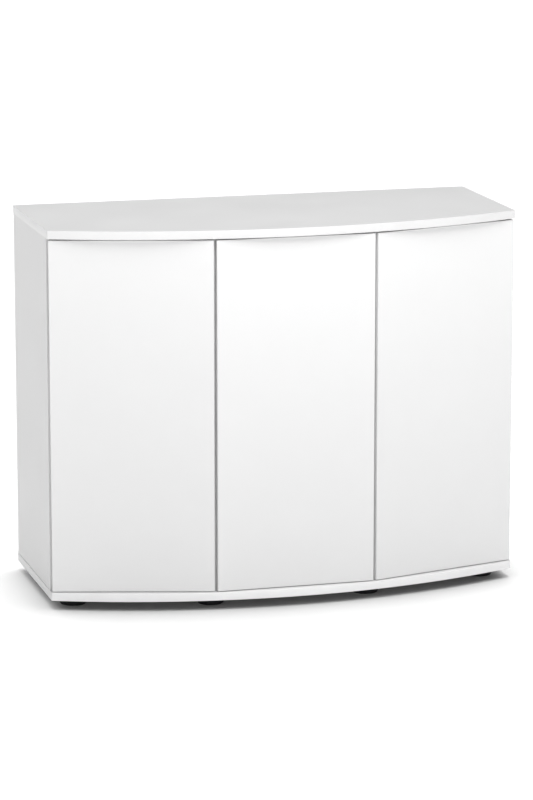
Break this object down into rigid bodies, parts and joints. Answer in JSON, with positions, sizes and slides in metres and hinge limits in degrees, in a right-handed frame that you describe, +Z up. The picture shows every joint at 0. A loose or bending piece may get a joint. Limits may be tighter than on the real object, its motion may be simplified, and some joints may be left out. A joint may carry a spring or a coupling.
{
  "type": "aquarium stand cabinet",
  "caption": "White bow-front aquarium stand cabinet with flat handle-less push-to-open doors, inner bays with shelves, curved top and bottom boards and low round black feet.",
  "frame": {"origin": "centre of the footprint at floor level", "axes": "+X to the right seen from the front, +Y towards the back, +Z up"},
  "size_m": [0.92, 0.41, 0.73],
  "materials": {
    "white_board": "white melamine, satin",
    "white_edge": "satin",
    "hardboard": "white lacquer, satin",
    "black_plastic": "fine grain",
    "nickel": "nickel plated",
    "zinc": "zinc die-cast, satin",
    "dowel_wood": "plain beech",
    "grey_plastic": "satin"
  },
  "bodies": {
    "carcass": {"top_board": "white_board", "bottom_board": "white_board", "left_side_panel": "white_board", "right_side_panel": "white_board", "left_partition": "white_board", "right_partition": "white_board", "left_back_panel": "hardboard", "centre_back_panel": "hardboard", "right_back_panel": "hardboard", "left_shelf": "white_board", "right_shelf": "white_board", "shelf_pins": "nickel", "top_edge_strip": "white_edge", "bottom_edge_strip": "white_edge", "left_side_edge_strip": "white_edge", "right_side_edge_strip": "white_edge", "partition_edge_strips": "white_edge", "foot_front_left": "black_plastic", "foot_front_mid_left": "black_plastic", "foot_front_mid_right": "black_plastic", "foot_front_right": "black_plastic", "foot_rear_left": "black_plastic", "foot_rear_mid_left": "black_plastic", "foot_rear_mid_right": "black_plastic", "foot_rear_right": "black_plastic", "foot_screws": "nickel", "cam_locks": "zinc", "cam_bolts": "nickel", "dowels": "dowel_wood", "hinge_plate_screws": "nickel", "left_hinge_arms": "nickel", "left_hinge_plates": "nickel", "left_latch_housing": "grey_plastic", "centre_hinge_arms": "nickel", "centre_hinge_plates": "nickel", "centre_latch_housing": "grey_plastic", "right_hinge_arms": "nickel", "right_hinge_plates": "nickel", "right_latch_housing": "grey_plastic"},
    "left_link": {"left_hinge_links": "nickel"},
    "left_door": {"left_door": "white_board", "left_door_edging": "white_edge", "left_hinge_cups": "nickel", "left_cup_screws": "nickel", "left_strike_pad": "nickel"},
    "left_plunger": {"left_latch_plunger": "grey_plastic"},
    "centre_link": {"centre_hinge_links": "nickel"},
    "centre_door": {"centre_door": "white_board", "centre_door_edging": "white_edge", "centre_hinge_cups": "nickel", "centre_cup_screws": "nickel", "centre_strike_pad": "nickel"},
    "centre_plunger": {"centre_latch_plunger": "grey_plastic"},
    "right_link": {"right_hinge_links": "nickel"},
    "right_door": {"right_door": "white_board", "right_door_edging": "white_edge", "right_hinge_cups": "nickel", "right_cup_screws": "nickel", "right_strike_pad": "nickel"},
    "right_plunger": {"right_latch_plunger": "grey_plastic"}
  },
  "joints": [
    {"name": "left_link_swing", "type": "hinge", "parent": "carcass", "child": "left_link", "pos_m": [-0.42865, -0.09486, 0.3745], "axis": [0, 0, 1], "range_deg": [0, 50]},
    {"name": "left_door_open", "type": "hinge", "parent": "left_link", "child": "left_door", "pos_m": [-0.44568, -0.10311, 0.3745], "axis": [0, 0, -1], "range_deg": [0, 150]},
    {"name": "centre_link_swing", "type": "hinge", "parent": "carcass", "child": "centre_link", "pos_m": [-0.12985, -0.16918, 0.3745], "axis": [0, 0, 1], "range_deg": [0, 50]},
    {"name": "centre_door_open", "type": "hinge", "parent": "centre_link", "child": "centre_door", "pos_m": [-0.14415, -0.18158, 0.3745], "axis": [0, 0, -1], "range_deg": [0, 150]},
    {"name": "right_link_swing", "type": "hinge", "parent": "carcass", "child": "right_link", "pos_m": [0.42865, -0.09486, 0.3745], "axis": [0, 0, -1], "range_deg": [0, 50]},
    {"name": "right_door_open", "type": "hinge", "parent": "right_link", "child": "right_door", "pos_m": [0.44568, -0.10311, 0.3745], "axis": [0, 0, 1], "range_deg": [0, 150]},
    {"name": "left_plunger_press", "type": "slide", "parent": "carcass", "child": "left_plunger", "axis": [0, 1, 0], "range_m": [0, 0.003], "stiffness_N_per_m": 400, "springref_m": -0.01},
    {"name": "centre_plunger_press", "type": "slide", "parent": "carcass", "child": "centre_plunger", "axis": [0, 1, 0], "range_m": [0, 0.003], "stiffness_N_per_m": 400, "springref_m": -0.01},
    {"name": "right_plunger_press", "type": "slide", "parent": "carcass", "child": "right_plunger", "axis": [0, 1, 0], "range_m": [0, 0.003], "stiffness_N_per_m": 400, "springref_m": -0.01}
  ],
  "couplings": [
    {"joint": "left_link_swing", "follows": "left_door_open", "ratio": 0.33333},
    {"joint": "centre_link_swing", "follows": "centre_door_open", "ratio": 0.33333},
    {"joint": "right_link_swing", "follows": "right_door_open", "ratio": 0.33333}
  ]
}
